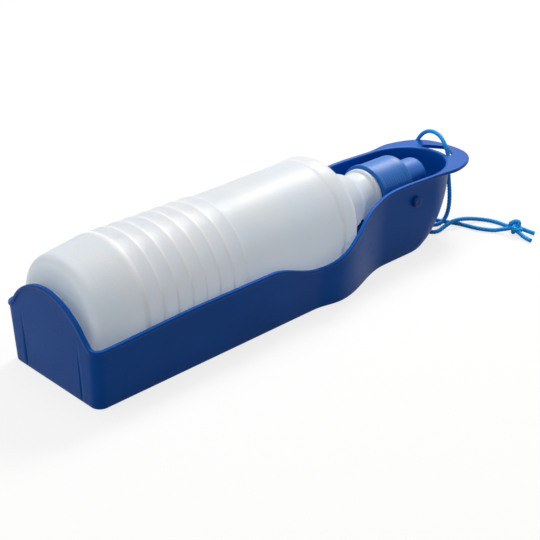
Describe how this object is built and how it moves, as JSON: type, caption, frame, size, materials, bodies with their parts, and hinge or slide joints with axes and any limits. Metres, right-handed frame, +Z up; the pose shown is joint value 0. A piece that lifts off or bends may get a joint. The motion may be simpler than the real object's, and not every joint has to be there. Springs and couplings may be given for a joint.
{
  "type": "dog travel water bottle",
  "caption": "Long trough that cradles a ribbed squeeze bottle and ends in a drinking scoop; the bottle swings out on two pins and unscrews, with a twist nozzle and a looped lanyard.",
  "frame": {"origin": "middle of the underside of the bounding box of the rigid object, on the surface it stands on, below the bottle's axis", "axes": "+X along the bottle's axis towards the scoop and its lip, +Y towards the far side wall, +Z up"},
  "size_m": [0.2896, 0.0959, 0.0635],
  "materials": {
    "trough_plastic": "deep blue moulded plastic, semi-gloss",
    "bottle_plastic": "milky translucent white blow-moulded polyethylene",
    "cap_plastic": "saturated blue moulded plastic, semi-gloss, finely striated",
    "seal_foam": "soft white foam washer",
    "pin_plastic": "deep blue moulded plastic",
    "o_ring_rubber": "black nitrile rubber",
    "lanyard_cord": "sky blue braided polyester cord"
  },
  "bodies": {
    "trough": {"trough": "trough_plastic", "lanyard_front": "lanyard_cord", "lanyard_back": "lanyard_cord", "lanyard_knot": "lanyard_cord"},
    "cap": {"screw_cap": "cap_plastic", "pivot_pin_near": "pin_plastic", "pivot_pin_far": "pin_plastic", "nozzle_o_ring": "o_ring_rubber"},
    "nozzle": {"twist_nozzle": "cap_plastic"},
    "seal": {"neck_seal": "seal_foam"},
    "bottle": {"bottle": "bottle_plastic"}
  },
  "joints": [
    {"name": "bottle_swing", "type": "hinge", "parent": "trough", "child": "cap", "pos_m": [0.08092, 0, 0.0309], "axis": [0, 1, 0], "range_deg": [0, 125]},
    {"name": "nozzle_twist", "type": "hinge", "parent": "cap", "child": "nozzle", "pos_m": [0.1, 0, 0.0325], "axis": [1, 0, 0], "range_deg": [0, 90]},
    {"name": "seal_slide", "type": "slide", "parent": "cap", "child": "seal", "axis": [-1, 0, 0], "range_m": [0, 0.0027]},
    {"name": "bottle_turn", "type": "hinge", "parent": "seal", "child": "bottle", "pos_m": [0.06, 0, 0.0325], "axis": [-1, 0, 0], "range_deg": [0, 360]}
  ],
  "couplings": [
    {"joint": "seal_slide", "follows": "bottle_turn", "m_per_rad": 0.00042971}
  ]
}
